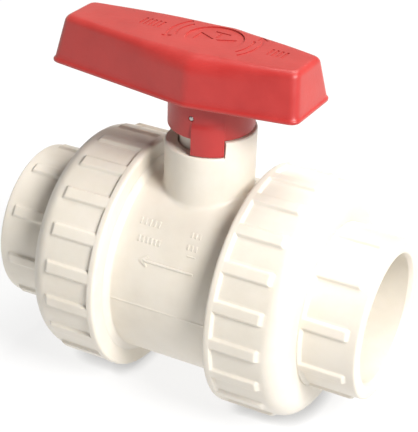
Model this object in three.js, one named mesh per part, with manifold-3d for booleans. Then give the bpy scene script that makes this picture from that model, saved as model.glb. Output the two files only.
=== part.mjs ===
// Double-union plastic ball valve with solvent sockets and a quarter-turn T handle.
// Millimetres, +Z up. The pipe axis runs along X at height AXIS_Z, the stem axis is the Z axis,
// and the valve stands on its two union nuts at z = 0. The valve is modelled open.
import * as THREE from 'three';
import { mergeVertices } from 'three/addons/utils/BufferGeometryUtils.js';
import Module from 'manifold-3d';

const wasm = await Module();
wasm.setup();

// ---- driving dimensions ----
const NUT_SIDES = 36;            // facets round a nut, one of them flat on the floor
const NUT_R = 47.8;              // collar radius of the union nut
const NUT_ROOT_R = 46.3;         // nut wall between the grip ribs
const NUT_RIBS = 20;             // grip ribs round a nut
const NUT_MOUTH = 22.9;          // distance from the stem axis to the nut's open face
const NUT_COLLAR_END = 26.4;     // where the collar ends and the ribs start
const NUT_RIB_END = 45.2;        // where the ribs end
const NUT_BACK = 53.6;           // closed face of the nut
const NUT_SEAT = 47.0;           // inner shoulder that pulls on the tailpiece flange
const NUT_THREAD_R = 41.0;       // inside radius of the nut
const NUT_HOLE_R = 32.8;         // hole the tailpiece passes through
const RIGHT_NUT_PHASE = 0.0;     // turn of the ribs at rest, degrees
const LEFT_NUT_PHASE = 5.5;

const BODY_R = 38.4;             // barrel between the nuts
const BODY_FLARE_R = 41.0;        // flare of the barrel up against the nuts' mouths
const BODY_SHOULDER_R = 40.3;    // collar inside the nuts' mouths
const THREAD_R = 40.6;           // threaded ends of the body
const BODY_END = 40.4;           // half length of the body
const PORT_R = 19.5;             // flow port
const CAVITY_R = 28.5;           // room for the ball
const BALL_R = 27.5;
const BALL_BORE_R = 19.0;
const SEAT_OUT_R = 25.5;
const SEAT_BACK = 21.0;          // flat back of a seat, from the stem axis
const SEAT_FRONT = 14.0;         // front lip of a seat

const SOCKET_R = 31.0;           // outside of the solvent socket
const SOCKET_BORE_R = 25.1;      // for 50 mm pipe
const SOCKET_END = 76.2;         // half length of the valve
const SOCKET_DEPTH = 31.0;
const SOCKET_RIBS = 10;
const RIGHT_SOCKET_PHASE = 2.0;   // turn of the ribs at rest, degrees
const LEFT_SOCKET_PHASE = 21.0;
const LAND_R = 32.2;             // low collar that the socket ribs grow out of
const LAND_END = 54.6;
const FLANGE_R = 39.0;
const FLANGE_FACE = 41.0;        // sealing face of the tailpiece
const FLANGE_BACK = 46.6;

const NECK_R = 17.25;            // stem neck of the body
const NECK_BORE_R = 12.6;
const NECK_TOP = 61.6;           // heights above the pipe axis from here on
const SLOT_FLOOR = 55.3;         // floor of the quarter-turn slot
const SLOT_FROM = -180.5;        // slot angles about the stem, degrees
const SLOT_TO = -44.5;
const WELL_FLOOR = 50.0;         // floor of the ring-shaped well round the stem boss
const BOSS_R = 11.7;
const BOSS_TOP = 61.2;
const STEM_BORE_R = 8.3;
const STEM_R = 8.0;
const STEM_COLLAR_R = 11.6;
const STEM_TOP = 72.5;
const STEM_SQUARE = 11.0;

const TAB_FROM = -89.5;          // stop tab under the handle
const TAB_TO = -45.5;
const SKIRT_R = 16.3;            // round hub under the handle
const SKIRT_BOTTOM = 61.9;
const GRIP_BOTTOM = 76.5;
const GRIP_TOP = 94.2;
const GRIP_YAW = -2.1;           // play that leaves the grip a little off the line of the pipe
const GRIP_WALL = 2.8;
const PIN_Z = 70.0;

const AXIS_Z = NUT_R * Math.cos(Math.PI / NUT_SIDES);
const DEG = Math.PI / 180;

// ---- helpers ----
function solid(geometry, matrix) {
  const bare = geometry.index ? geometry.toNonIndexed() : geometry.clone();
  bare.deleteAttribute('normal');
  bare.deleteAttribute('uv');
  if (matrix) bare.applyMatrix4(matrix);
  const g = mergeVertices(bare, 1e-4);
  const pos = g.attributes.position.array;
  const raw = g.index.array;
  const keep = [];
  let volume = 0;
  for (let i = 0; i < raw.length; i += 3) {
    const [a, b, c] = [raw[i], raw[i + 1], raw[i + 2]];
    if (a === b || b === c || a === c) continue;
    keep.push(a, b, c);
    const A = new THREE.Vector3().fromArray(pos, 3 * a);
    const B = new THREE.Vector3().fromArray(pos, 3 * b);
    const C = new THREE.Vector3().fromArray(pos, 3 * c);
    volume += A.dot(B.cross(C));
  }
  if (volume < 0) {
    for (let i = 0; i < keep.length; i += 3) [keep[i], keep[i + 1]] = [keep[i + 1], keep[i]];
  }
  return new wasm.Manifold(new wasm.Mesh({
    numProp: 3,
    vertProperties: Float32Array.from(pos),
    triVerts: Uint32Array.from(keep),
  }));
}

// Turned solid about Z from [radius, height] points; the profile closes on itself.
function turnedZ(points, sides = 36, phase = 0) {
  const p = points.map(([r, h]) => new THREE.Vector2(r, h));
  const onAxis = points[0][0] === 0 && points[points.length - 1][0] === 0;
  if (!onAxis) p.push(p[0].clone());
  const g = new THREE.LatheGeometry(p, sides, phase, 2 * Math.PI);
  return solid(g, new THREE.Matrix4().makeRotationX(Math.PI / 2));
}

// Turned solid about the pipe axis from [radius, x] points, a facet facing straight down.
function turnedX(points, sides = 36) {
  const p = points.map(([r, h]) => new THREE.Vector2(r, h));
  const onAxis = points[0][0] === 0 && points[points.length - 1][0] === 0;
  if (!onAxis) p.push(p[0].clone());
  const g = new THREE.LatheGeometry(p, sides, Math.PI / sides, 2 * Math.PI);
  return solid(g, new THREE.Matrix4().makeRotationZ(-Math.PI / 2));
}

function block(x0, x1, y0, y1, z0, z1) {
  const g = new THREE.BoxGeometry(x1 - x0, y1 - y0, z1 - z0);
  const m = new THREE.Matrix4().makeTranslation((x0 + x1) / 2, (y0 + y1) / 2, (z0 + z1) / 2);
  return solid(g, m);
}

function rodY(x, z, r, y0, y1, sides = 16) {
  const g = new THREE.CylinderGeometry(r, r, y1 - y0, sides);
  const m = new THREE.Matrix4().makeTranslation(x, (y0 + y1) / 2, z);
  return solid(g, m);
}

// Part of a ring about Z between two angles in degrees.
function sector(r0, r1, a0, a1, z0, z1) {
  const steps = Math.max(2, Math.round((a1 - a0) / 9));
  const shape = new THREE.Shape();
  for (let i = 0; i <= steps; i += 1) {
    const a = (a0 + (a1 - a0) * i / steps) * DEG;
    const p = [r1 * Math.cos(a), r1 * Math.sin(a)];
    if (i === 0) shape.moveTo(...p);
    else shape.lineTo(...p);
  }
  for (let i = steps; i >= 0; i -= 1) {
    const a = (a0 + (a1 - a0) * i / steps) * DEG;
    shape.lineTo(r0 * Math.cos(a), r0 * Math.sin(a));
  }
  shape.closePath();
  const g = new THREE.ExtrudeGeometry(shape, { depth: z1 - z0, bevelEnabled: false, steps: 1 });
  return solid(g, new THREE.Matrix4().makeTranslation(0, 0, z0));
}

// Solid skinned over equal-length outlines of [x, y] at the given heights.
function skinned(layers) {
  const n = layers[0].points.length;
  const pos = [];
  layers.forEach(({ z, points }) => points.forEach(([x, y]) => pos.push(x, y, z)));
  const idx = [];
  for (let k = 0; k + 1 < layers.length; k += 1) {
    for (let i = 0; i < n; i += 1) {
      const j = (i + 1) % n;
      const [a, b, c, d] = [k * n + i, k * n + j, (k + 1) * n + j, (k + 1) * n + i];
      idx.push(a, b, c, a, c, d);
    }
  }
  const top = (layers.length - 1) * n;
  for (let i = 1; i + 1 < n; i += 1) {
    idx.push(0, i + 1, i);
    idx.push(top, top + i, top + i + 1);
  }
  const g = new THREE.BufferGeometry();
  g.setAttribute('position', new THREE.Float32BufferAttribute(pos, 3));
  g.setIndex(idx);
  return solid(g);
}

// Outline of the grip, widest over the stem, longer to the left than to the right.
function gripOutline(left, right, wide, end, round, inset) {
  const corners = [
    [right - inset, -(end - inset)],
    [right - inset, end - inset],
    [0, wide - inset],
    [-(left - inset), end - inset],
    [-(left - inset), -(end - inset)],
    [0, -(wide - inset)],
  ];
  const radii = [round, round, 3, round, round, 3];
  const out = [];
  corners.forEach((c, i) => {
    const p = new THREE.Vector2(...corners[(i + 5) % 6]);
    const q = new THREE.Vector2(...c);
    const s = new THREE.Vector2(...corners[(i + 1) % 6]);
    const a = p.clone().sub(q).normalize();
    const b = s.clone().sub(q).normalize();
    const cut = Math.max(radii[i] - inset * 0.6, 0.8);
    const from = q.clone().addScaledVector(a, cut);
    const to = q.clone().addScaledVector(b, cut);
    for (let k = 0; k <= 4; k += 1) {
      const t = k / 4;
      const u = from.clone().multiplyScalar((1 - t) ** 2);
      u.addScaledVector(q, 2 * t * (1 - t));
      u.addScaledVector(to, t * t);
      out.push([u.x, u.y]);
    }
  });
  return out;
}

function union(list) {
  return list.reduce((a, b) => a.add(b));
}

const group = new THREE.Group();
group.name = 'ball_valve';

function put(name, body, color, roughness, metalness = 0) {
  const m = body.getMesh();
  const g = new THREE.BufferGeometry();
  const pos = new Float32Array(m.numVert * 3);
  for (let i = 0; i < m.numVert; i += 1) {
    for (let k = 0; k < 3; k += 1) pos[3 * i + k] = m.vertProperties[i * m.numProp + k];
  }
  g.setAttribute('position', new THREE.BufferAttribute(pos, 3));
  g.setIndex(new THREE.BufferAttribute(Uint32Array.from(m.triVerts), 1));
  g.computeVertexNormals();
  const material = new THREE.MeshStandardMaterial({ color, roughness, metalness });
  const mesh = new THREE.Mesh(g, material);
  mesh.name = name;
  mesh.position.z = AXIS_Z;
  group.add(mesh);
}

// Ring of round section lying round the pipe axis or round the stem.
function oRing(radius, section, along, axis) {
  const p = [];
  for (let i = 0; i < 6; i += 1) {
    const a = 2 * Math.PI * i / 6;
    p.push([radius + section * Math.cos(a), along + section * Math.sin(a)]);
  }
  return axis === 'x' ? turnedX(p, 24) : turnedZ(p, 16);
}

// ---- valve body ----
function bodyHalf(s) {
  return [
    [0, 0],
    [BODY_R, 0],
    [BODY_R, s * 20.9],
    [BODY_FLARE_R, s * 22.4],
    [BODY_FLARE_R, s * 22.55],
    [BODY_SHOULDER_R, s * 22.6],
    [BODY_SHOULDER_R, s * 24.2],
    [THREAD_R, s * 24.6],
    [THREAD_R, s * (BODY_END - 1.0)],
    [THREAD_R - 1.0, s * BODY_END],
    [0, s * BODY_END],
  ];
}

const neck = turnedZ([[0, 20], [NECK_R, 20], [NECK_R, NECK_TOP], [0, NECK_TOP]], 40);
let body = union([turnedX(bodyHalf(1), 40), turnedX(bodyHalf(-1), 40), neck]);
const bore = turnedX([
  [0, -50],
  [PORT_R, -50],
  [PORT_R, -24.2],
  [24.7, -24.2],
  [24.7, -21.3],
  [SEAT_OUT_R + 0.3, -21.3],
  [SEAT_OUT_R + 0.3, -13.6],
  [CAVITY_R, -13.6],
  [CAVITY_R, 13.0],
  [29.5, 13.0],
  [29.5, 27.4],
  [31.6, 27.4],
  [31.6, 50],
  [0, 50],
], 30);
const stemWay = turnedZ([
  [0, 20],
  [STEM_COLLAR_R + 0.4, 20],
  [STEM_COLLAR_R + 0.4, 33.8],
  [STEM_BORE_R, 33.8],
  [STEM_BORE_R, 70],
  [0, 70],
], 32);
const well = turnedZ([
  [BOSS_R, WELL_FLOOR],
  [NECK_BORE_R, WELL_FLOOR],
  [NECK_BORE_R, 70],
  [0.5, 70],
  [0.5, BOSS_TOP],
  [BOSS_R, BOSS_TOP],
], 32);
const slot = sector((BOSS_R + NECK_BORE_R) / 2, NECK_R + 3, SLOT_FROM, SLOT_TO, SLOT_FLOOR, 70);
const faceGroove = (s) => turnedX([
  [33.8, s * (BODY_END - 2.7)],
  [37.4, s * (BODY_END - 2.7)],
  [37.4, s * (BODY_END + 5)],
  [33.8, s * (BODY_END + 5)],
], 30);
body = body.subtract(bore).subtract(stemWay).subtract(well).subtract(slot);
body = body.subtract(faceGroove(1)).subtract(faceGroove(-1));
put('valve_body', body, 0xe9e5d8, 0.42);

// ---- ball, with its bore along the pipe and its key slot across it ----
const sphere = solid(new THREE.SphereGeometry(BALL_R, 30, 18));
const way = turnedX([[0, -40], [BALL_BORE_R, -40], [BALL_BORE_R, 40], [0, 40]], 30);
const keySlot = block(-4.3, 4.3, -40, 40, 22.5, 40);
put('ball', sphere.subtract(way).subtract(keySlot), 0xeceae2, 0.25);

// ---- stem with its key, collar, two ring grooves and square top ----
const shaft = turnedZ([
  [0, 27.9],
  [STEM_COLLAR_R, 28.6],
  [STEM_COLLAR_R, 32.0],
  [STEM_R, 32.0],
  [STEM_R, 36.6],
  [6.0, 36.6],
  [6.0, 39.4],
  [STEM_R, 39.4],
  [STEM_R, 42.0],
  [6.0, 42.0],
  [6.0, 44.8],
  [STEM_R, 44.8],
  [STEM_R, 56.9],
  [0, 56.9],
], 24);
const key = block(-4.0, 4.0, -9.5, 9.5, 22.8, 29.0);
const half = STEM_SQUARE / 2;
const square = block(-half, half, -half, half, 56.0, STEM_TOP);
const pinHoleStem = rodY(0, PIN_Z, 1.4, -10, -2.2);
put('stem', union([shaft, key, square]).subtract(pinHoleStem), 0xe6e2d6, 0.4);
put('thrust_washer', turnedZ([[8.4, 32.3], [11.4, 32.3], [11.4, 33.5], [8.4, 33.5]], 24), 0xf4f3ee, 0.5);
put('stem_o_ring_lower', oRing(7.15, 0.95, 38.0, 'z'), 0x1b1b1b, 0.75);
put('stem_o_ring_upper', oRing(7.15, 0.95, 43.4, 'z'), 0x1b1b1b, 0.75);

// ---- ball seats and the rings behind them ----
function seat(s) {
  const p = [[PORT_R, s * SEAT_BACK], [SEAT_OUT_R, s * SEAT_BACK], [SEAT_OUT_R, s * SEAT_FRONT]];
  const near = BALL_R + 0.35;
  for (let i = 0; i <= 3; i += 1) {
    const r = 24.0 + (PORT_R - 24.0) * i / 3;
    p.push([r, s * Math.sqrt(near * near - r * r)]);
  }
  return turnedX(p, 30);
}
put('seat_left', seat(-1), 0xf6f5f0, 0.45);
put('seat_right', seat(1), 0xf6f5f0, 0.45);
put('seat_o_ring_left', oRing(23.05, 1.2, -22.7, 'x'), 0x1b1b1b, 0.75);
put('seat_o_ring_right', oRing(23.05, 1.2, 22.7, 'x'), 0x1b1b1b, 0.75);

// ---- threaded seat carrier in the right end of the body, with two tool notches ----
const carrierRing = turnedX([
  [PORT_R, 24.2],
  [24.7, 24.2],
  [24.7, 21.3],
  [SEAT_OUT_R + 0.3, 21.3],
  [SEAT_OUT_R + 0.3, 13.6],
  [29.1, 13.6],
  [29.1, 22.8],
  [26.9, 22.8],
  [26.9, 25.6],
  [29.1, 25.6],
  [29.1, 27.8],
  [31.2, 27.8],
  [31.2, BODY_END],
  [PORT_R, BODY_END],
], 30);
const notches = block(30, 50, -3.2, 3.2, -29.6, 29.6).intersect(block(35.6, 50, -4, 4, -30, 30));
const hub = turnedX([[0, 30], [23.5, 30], [23.5, 50], [0, 50]], 30);
put('seat_carrier', carrierRing.subtract(notches.subtract(hub)), 0xe6e2d6, 0.42);
put('carrier_o_ring', oRing(28.2, 1.0, 24.2, 'x'), 0x1b1b1b, 0.75);

// ---- tailpieces ----
function tailpiece(s, phase) {
  const bottom = SOCKET_END - SOCKET_DEPTH;
  let piece = turnedX([
    [PORT_R, s * FLANGE_FACE],
    [FLANGE_R, s * FLANGE_FACE],
    [FLANGE_R, s * FLANGE_BACK],
    [LAND_R, s * FLANGE_BACK],
    [LAND_R, s * LAND_END],
    [SOCKET_R, s * (LAND_END + 1.0)],
    [SOCKET_R, s * (SOCKET_END - 0.8)],
    [SOCKET_R - 0.8, s * SOCKET_END],
    [SOCKET_BORE_R + 1.0, s * SOCKET_END],
    [SOCKET_BORE_R, s * (SOCKET_END - 1.6)],
    [SOCKET_BORE_R, s * bottom],
    [PORT_R, s * bottom],
  ], 40);
  for (let i = 0; i < SOCKET_RIBS; i += 1) {
    const rib = block(Math.min(s * 48, s * 72.3), Math.max(s * 48, s * 72.3), -2.4, 2.4, 29.5, 32.2);
    piece = piece.add(rib.rotate([phase + i * 360 / SOCKET_RIBS, 0, 0]));
  }
  return piece;
}
put('tailpiece_left', tailpiece(-1, LEFT_SOCKET_PHASE), 0xe9e5d8, 0.42);
put('tailpiece_right', tailpiece(1, RIGHT_SOCKET_PHASE), 0xe9e5d8, 0.42);
put('face_o_ring_left', oRing(35.6, 1.4, -39.35, 'x'), 0x1b1b1b, 0.75);
put('face_o_ring_right', oRing(35.6, 1.4, 39.35, 'x'), 0x1b1b1b, 0.75);

// ---- union nuts ----
function unionNut(s, phase) {
  const p = [
    [NUT_THREAD_R, s * NUT_MOUTH],
    [NUT_R - 1.6, s * NUT_MOUTH],
    [NUT_R, s * (NUT_MOUTH + 1.6)],
    [NUT_R, s * (NUT_COLLAR_END - 0.6)],
    [NUT_ROOT_R, s * NUT_COLLAR_END],
    [NUT_ROOT_R, s * 45.8],
  ];
  for (let i = 1; i <= 4; i += 1) {
    const a = i / 4 * Math.PI / 2;
    p.push([NUT_ROOT_R - 9.0 * (1 - Math.cos(a)), s * (45.8 + 7.8 * Math.sin(a))]);
  }
  p.push([NUT_HOLE_R, s * NUT_BACK]);
  p.push([NUT_HOLE_R, s * NUT_SEAT]);
  p.push([NUT_THREAD_R, s * NUT_SEAT]);
  let nut = turnedX(p, NUT_SIDES);
  const x0 = Math.min(s * 25.6, s * NUT_RIB_END);
  const x1 = Math.max(s * 25.6, s * NUT_RIB_END);
  for (let i = 0; i < NUT_RIBS; i += 1) {
    const rib = block(x0, x1, -2.8, 2.8, NUT_ROOT_R - 1.5, NUT_R - 0.25);
    nut = nut.add(rib.rotate([phase + i * 360 / NUT_RIBS, 0, 0]));
  }
  return nut;
}
put('union_nut_left', unionNut(-1, LEFT_NUT_PHASE), 0xe9e5d8, 0.42);
put('union_nut_right', unionNut(1, RIGHT_NUT_PHASE), 0xe9e5d8, 0.42);

// ---- T handle: hollow grip, round hub with a square socket, stop tab ----
const outer = skinned([
  { z: GRIP_BOTTOM, points: gripOutline(62.4, 41.1, 22.0, 13.8, 5.0, 0) },
  { z: GRIP_TOP - 6.0, points: gripOutline(60.2, 39.4, 20.4, 11.0, 5.0, 0) },
  { z: GRIP_TOP - 2.6, points: gripOutline(59.6, 38.9, 19.0, 10.2, 5.0, 0) },
  { z: GRIP_TOP - 0.9, points: gripOutline(58.9, 38.2, 17.0, 9.4, 4.6, 0) },
  { z: GRIP_TOP, points: gripOutline(57.0, 36.4, 13.8, 7.5, 3.6, 0) },
]).rotate([0, 0, GRIP_YAW]);
const inner = skinned([
  { z: GRIP_BOTTOM - 1, points: gripOutline(62.4, 41.1, 22.0, 13.8, 5.0, GRIP_WALL) },
  { z: GRIP_TOP - GRIP_WALL, points: gripOutline(59.6, 38.8, 18.4, 10.2, 5.0, GRIP_WALL) },
]).rotate([0, 0, GRIP_YAW]);
const web = union([
  block(-60, 38, -1.1, 1.1, 78.5, 91.5),
  block(-31.1, -28.9, -18, 18, 80.0, 91.5),
  block(-1.1, 1.1, -21, 21, 78.5, 91.5),
]).rotate([0, 0, GRIP_YAW]).intersect(outer);
const skirt = turnedZ([
  [13.4, 91.5],
  [13.4, SKIRT_BOTTOM],
  [SKIRT_R - 1.4, SKIRT_BOTTOM],
  [SKIRT_R, SKIRT_BOTTOM + 2.2],
  [SKIRT_R, 91.5],
], 36);
const post = turnedZ([[0, BOSS_TOP + 0.4], [9.8, BOSS_TOP + 0.4], [9.8, 91.5], [0, 91.5]], 32);
const fit = half + 0.3;
const squareHole = block(-fit, fit, -fit, fit, 50, STEM_TOP + 0.8);
const tab = sector(13.5, NECK_R - 0.1, TAB_FROM, TAB_TO, SLOT_FLOOR + 0.4, 65.0);
const tabRoot = sector(13.5, SKIRT_R - 0.1, TAB_FROM, TAB_TO, SKIRT_BOTTOM + 0.1, 66.0);
const ties = union([
  block(-14.5, -9, -1.1, 1.1, 66, 91.5),
  block(9, 14.5, -1.1, 1.1, 66, 91.5),
  block(-1.1, 1.1, 9, 14.5, 66, 91.5),
]);
const pinHole = rodY(0, PIN_Z, 1.4, -20, -4);
const pinSeat = rodY(0, PIN_Z, 1.6, -20, -15.4);
const hubHollow = turnedZ([[9.8, 60], [13.4, 60], [13.4, 91.0], [9.8, 91.0]], 36);
const shell = outer.subtract(inner);
let handle = union([shell, web.subtract(hubHollow), skirt, post, ties, tab, tabRoot]);
handle = handle.subtract(squareHole).subtract(pinHole).subtract(pinSeat);
put('handle', handle, 0xc9302e, 0.38);

// ---- pin that holds the handle on the stem square ----
const pinShank = rodY(0, PIN_Z, 1.1, -16.0, -2.6, 14);
const pinHead = rodY(0, PIN_Z, 1.25, -16.4, -15.7, 14);
put('handle_pin', pinShank.add(pinHead), 0xa8a8a6, 0.3, 0.9);

export default group;
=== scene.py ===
import math
import bpy
import numpy as np
from mathutils import Matrix, Vector


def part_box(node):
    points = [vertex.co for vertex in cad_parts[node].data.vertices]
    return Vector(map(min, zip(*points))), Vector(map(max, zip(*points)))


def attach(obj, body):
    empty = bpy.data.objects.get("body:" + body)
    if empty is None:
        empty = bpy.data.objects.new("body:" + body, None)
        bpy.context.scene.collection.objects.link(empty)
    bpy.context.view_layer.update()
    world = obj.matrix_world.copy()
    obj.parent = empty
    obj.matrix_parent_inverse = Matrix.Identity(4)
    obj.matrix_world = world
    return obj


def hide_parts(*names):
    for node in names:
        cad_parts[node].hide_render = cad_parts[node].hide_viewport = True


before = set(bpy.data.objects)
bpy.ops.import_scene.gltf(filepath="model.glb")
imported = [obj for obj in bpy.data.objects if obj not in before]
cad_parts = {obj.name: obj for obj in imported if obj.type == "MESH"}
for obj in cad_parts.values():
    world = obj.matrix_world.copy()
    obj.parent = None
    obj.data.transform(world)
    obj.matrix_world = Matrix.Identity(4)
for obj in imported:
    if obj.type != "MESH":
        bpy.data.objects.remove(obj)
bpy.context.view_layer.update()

# A double-union ball valve, open: barrel with a neck, two union nuts, two sockets, a T handle, and
# the ball, seats, rings and stem inside.
scene = bpy.context.scene
TAU = 2 * math.pi
MM = 0.001

# ------------------------------------------------------------------ driving dimensions
# Millimetres from the pipe axis (radii and heights) or from the middle of the valve (along X).
socket_low, socket_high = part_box("tailpiece_right")
AXIS_Z = (socket_low[2] + socket_high[2]) / 2 / MM      # height of the pipe axis over the floor
SOCKET_END = socket_high[0] / MM                        # face of the sockets
GRIP_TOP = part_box("handle")[1][2] / MM - AXIS_Z

PORT_R = 19.5                   # bore through seats, carrier and tailpieces
SOCKET_R = 31.0                 # outside of the sockets, between their ribs
SOCKET_BORE_R = 25.1
NUT_R = 46.3                    # outside of the nuts, between their ribs
NUT_RIM_R = 47.58               # smooth rim round the mouth of a nut
NUT_BORE_R = 41.0
NUT_HOLE_R = 32.22              # hole in the back of a nut, round the socket
NUT_MOUTH = 22.9
BARREL_R = 38.4
THREAD_ROOT_R = 38.85
NECK_R = 17.25
NECK_TOP = 61.6
WELL_R = 12.3                   # open ring in the neck, between its wall and the stem boss
WELL_FLOOR = 50.0
BOSS_R = 11.7
BALL_R = 27.5
STEM_R = 8.0
HUB_R = 16.3
HUB_BORE_R = 13.4
HUB_TOP = 91.3
PIN_Z = 70.0                    # height of the cross pin through hub and stem

PITCH = 4.0                     # of the union threads
TOOTH_FOOT = 2.1                # width of a thread tooth at its root and at its crest
TOOTH_CREST = 0.8
BODY_TOOTH_TALL = 1.65
NUT_TOOTH_DEEP = 1.55


# ------------------------------------------------------------------ materials
BROAD_SCALE = 26.0              # noise scales, per metre
MID_SCALE = 140.0
FINE_SCALE = 900.0
CLOUD_SCALE = 300.0
SCRATCH_SCALE = 1800.0


def set_values(node, values):
    for socket, value in values.items():
        node.inputs[socket].default_value = value


def new_material(name):
    """Material with one Principled shader, its node tree and the shader."""
    m = bpy.data.materials.new(name)
    m.use_nodes = True
    tree = m.node_tree
    tree.nodes.clear()
    out = tree.nodes.new("ShaderNodeOutputMaterial")
    shader = tree.nodes.new("ShaderNodeBsdfPrincipled")
    tree.links.new(shader.outputs["BSDF"], out.inputs["Surface"])
    return m, tree, shader


def object_coordinates(tree):
    return tree.nodes.new("ShaderNodeTexCoord").outputs["Object"]


def noise(tree, coord, scale, detail):
    n = tree.nodes.new("ShaderNodeTexNoise")
    set_values(n, {"Scale": scale, "Detail": detail, "Roughness": 0.55})
    tree.links.new(coord, n.inputs["Vector"])
    return n.outputs["Fac"]


def ramp(tree, fac, stops):
    """Colour ramp with the stops (position, colour) in order."""
    node = tree.nodes.new("ShaderNodeValToRGB")
    elements = node.color_ramp.elements
    for place, end in ((0, 0), (1, -1)):
        elements[place].position = stops[end][0]
        elements[place].color = (*stops[end][1], 1)
    for position, colour in stops[1:-1]:
        elements.new(position).color = (*colour, 1)
    tree.links.new(fac, node.inputs["Fac"])
    return node.outputs["Color"]


def remap(tree, fac, from_min, from_max, to_min, to_max):
    m = tree.nodes.new("ShaderNodeMapRange")
    set_values(m, {"From Min": from_min, "From Max": from_max, "To Min": to_min, "To Max": to_max})
    tree.links.new(fac, m.inputs["Value"])
    return m.outputs["Result"]


def add(tree, a, b, share):
    """a plus a share of b."""
    m = tree.nodes.new("ShaderNodeMath")
    m.operation = "MULTIPLY_ADD"
    tree.links.new(b, m.inputs[0])
    m.inputs[1].default_value = share
    tree.links.new(a, m.inputs[2])
    return m.outputs[0]


def moulded(name, colours, rough, grain, waves, specular, scatter=None, sheen=None):
    """Moulded plastic or rubber: cloudy colour, uneven gloss, and a fine grain over soft waves."""
    m, tree, shader = new_material(name)
    pos = object_coordinates(tree)
    broad = noise(tree, pos, BROAD_SCALE, 4.0)
    fine = noise(tree, pos, FINE_SCALE, 2.0)
    mid = noise(tree, pos, MID_SCALE, 3.0)
    stops = list(zip((0.42, 0.66, 0.92), colours))
    tree.links.new(ramp(tree, add(tree, broad, mid, 0.35), stops), shader.inputs["Base Color"])
    gloss = add(tree, remap(tree, mid, 0.3, 0.7, rough - 0.05, rough + 0.05), fine, 0.05)
    tree.links.new(gloss, shader.inputs["Roughness"])
    set_values(shader, {"Specular IOR Level": specular, "IOR": 1.53})
    if scatter:
        weight, radius = scatter
        set_values(shader, {"Subsurface Weight": weight, "Subsurface Radius": radius,
                            "Subsurface Scale": 0.0025})
    if sheen:
        weight, tint = sheen
        set_values(shader, {"Sheen Weight": weight, "Sheen Roughness": 0.5, "Sheen Tint": (*tint, 1)})
    bump = tree.nodes.new("ShaderNodeBump")
    set_values(bump, {"Strength": 0.6, "Distance": 0.0001})
    height = add(tree, remap(tree, fine, 0.0, 1.0, 0.0, grain), mid, waves)
    tree.links.new(height, bump.inputs["Height"])
    tree.links.new(bump.outputs["Normal"], shader.inputs["Normal"])
    return m


def steel(name):
    """Drawn steel wire: cloudy grey with fine scratches in its gloss."""
    m, tree, shader = new_material(name)
    pos = object_coordinates(tree)
    scratch = noise(tree, pos, SCRATCH_SCALE, 2.0)
    cloud = noise(tree, pos, CLOUD_SCALE, 3.0)
    set_values(shader, {"Metallic": 1.0})
    stops = [(0.3, (0.38, 0.37, 0.36)), (0.7, (0.50, 0.49, 0.47))]
    tree.links.new(ramp(tree, cloud, stops), shader.inputs["Base Color"])
    tree.links.new(remap(tree, scratch, 0.3, 0.7, 0.22, 0.40), shader.inputs["Roughness"])
    return m


IVORY = moulded("ivory_pvc", [(0.67, 0.614, 0.524), (0.72, 0.668, 0.58), (0.76, 0.71, 0.632)],
                rough=0.40, grain=0.35, waves=1.2, specular=0.45, scatter=(0.12, (1.0, 0.75, 0.5)))
CORE = moulded("ball_pvc", [(0.80, 0.77, 0.70), (0.84, 0.815, 0.75), (0.87, 0.85, 0.79)],
               rough=0.22, grain=0.12, waves=0.4, specular=0.5, scatter=(0.08, (1.0, 0.8, 0.6)))
PTFE = moulded("seat_ptfe", [(0.84, 0.84, 0.82), (0.88, 0.88, 0.86), (0.91, 0.91, 0.90)],
               rough=0.42, grain=0.2, waves=0.5, specular=0.4, scatter=(0.15, (1.0, 0.9, 0.8)))
RED = moulded("red_plastic", [(0.345, 0.016, 0.015), (0.40, 0.021, 0.019), (0.45, 0.028, 0.025)],
              rough=0.40, grain=0.45, waves=1.4, specular=0.45, scatter=(0.04, (1.0, 0.15, 0.1)),
              sheen=(0.22, (1.0, 0.82, 0.68)))
RUBBER = moulded("black_rubber", [(0.012, 0.012, 0.013), (0.018, 0.018, 0.019), (0.028, 0.028, 0.029)],
                 rough=0.62, grain=0.8, waves=1.0, specular=0.4)
STEEL = steel("pin_steel")


# ------------------------------------------------------------------ shape helpers
def smooth(t):
    """Soft step from 0 to 1 as t goes from 0 to 1."""
    t = np.clip(t, 0.0, 1.0)
    return t * t * (3 - 2 * t)


def wrap(angle):
    """The same angle between minus and plus half a turn."""
    return (angle + math.pi) % TAU - math.pi


def curve(p, q, s, t):
    """Point at t on the curve that leaves p towards q and arrives at s from q."""
    return p * (1 - t) ** 2 + q * 2 * t * (1 - t) + s * t * t


def quarter(steps):
    """Angles from 0 to a quarter turn."""
    return [k / steps * math.pi / 2 for k in range(steps + 1)]


def corner(p, q, s):
    """Directions from q to p and to s, both lengths, and the tangent of half the angle at q."""
    a, b = p - q, s - q
    len_a, len_b = np.linalg.norm(a), np.linalg.norm(b)
    a, b = a / len_a, b / len_b
    return a, b, len_a, len_b, math.tan(math.acos(np.clip(a @ b, -1, 1)) / 2)


def rounded(points, step=0.22):
    """Profile of (along, radius, corner radius) with its corners rounded, closed end to start."""
    out = []
    n = len(points)
    for i in range(n):
        p, q, s = (np.array(points[(i + d) % n][:2], float) for d in (-1, 0, 1))
        r = points[i][2]
        if r <= 0:
            out.append(q)
            continue
        a, b, len_a, len_b, tangent = corner(p, q, s)
        cut = min(r / max(tangent, 1e-6), len_a * 0.49, len_b * 0.49)
        steps = max(3, int(cut / step))
        out += [curve(q + a * cut, q, q + b * cut, k / steps) for k in range(steps + 1)]
    return np.array(out)


def outward(me):
    """Turn the faces of a closed mesh outwards."""
    co = np.empty(len(me.vertices) * 3)
    me.vertices.foreach_get("co", co)
    me.calc_loop_triangles()
    tri = np.empty(len(me.loop_triangles) * 3, int)
    me.loop_triangles.foreach_get("vertices", tri)
    a, b, c = co.reshape(-1, 3)[tri.reshape(-1, 3)].transpose(1, 0, 2)
    if float((a * np.cross(b, c)).sum()) < 0:
        me.flip_normals()


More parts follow.
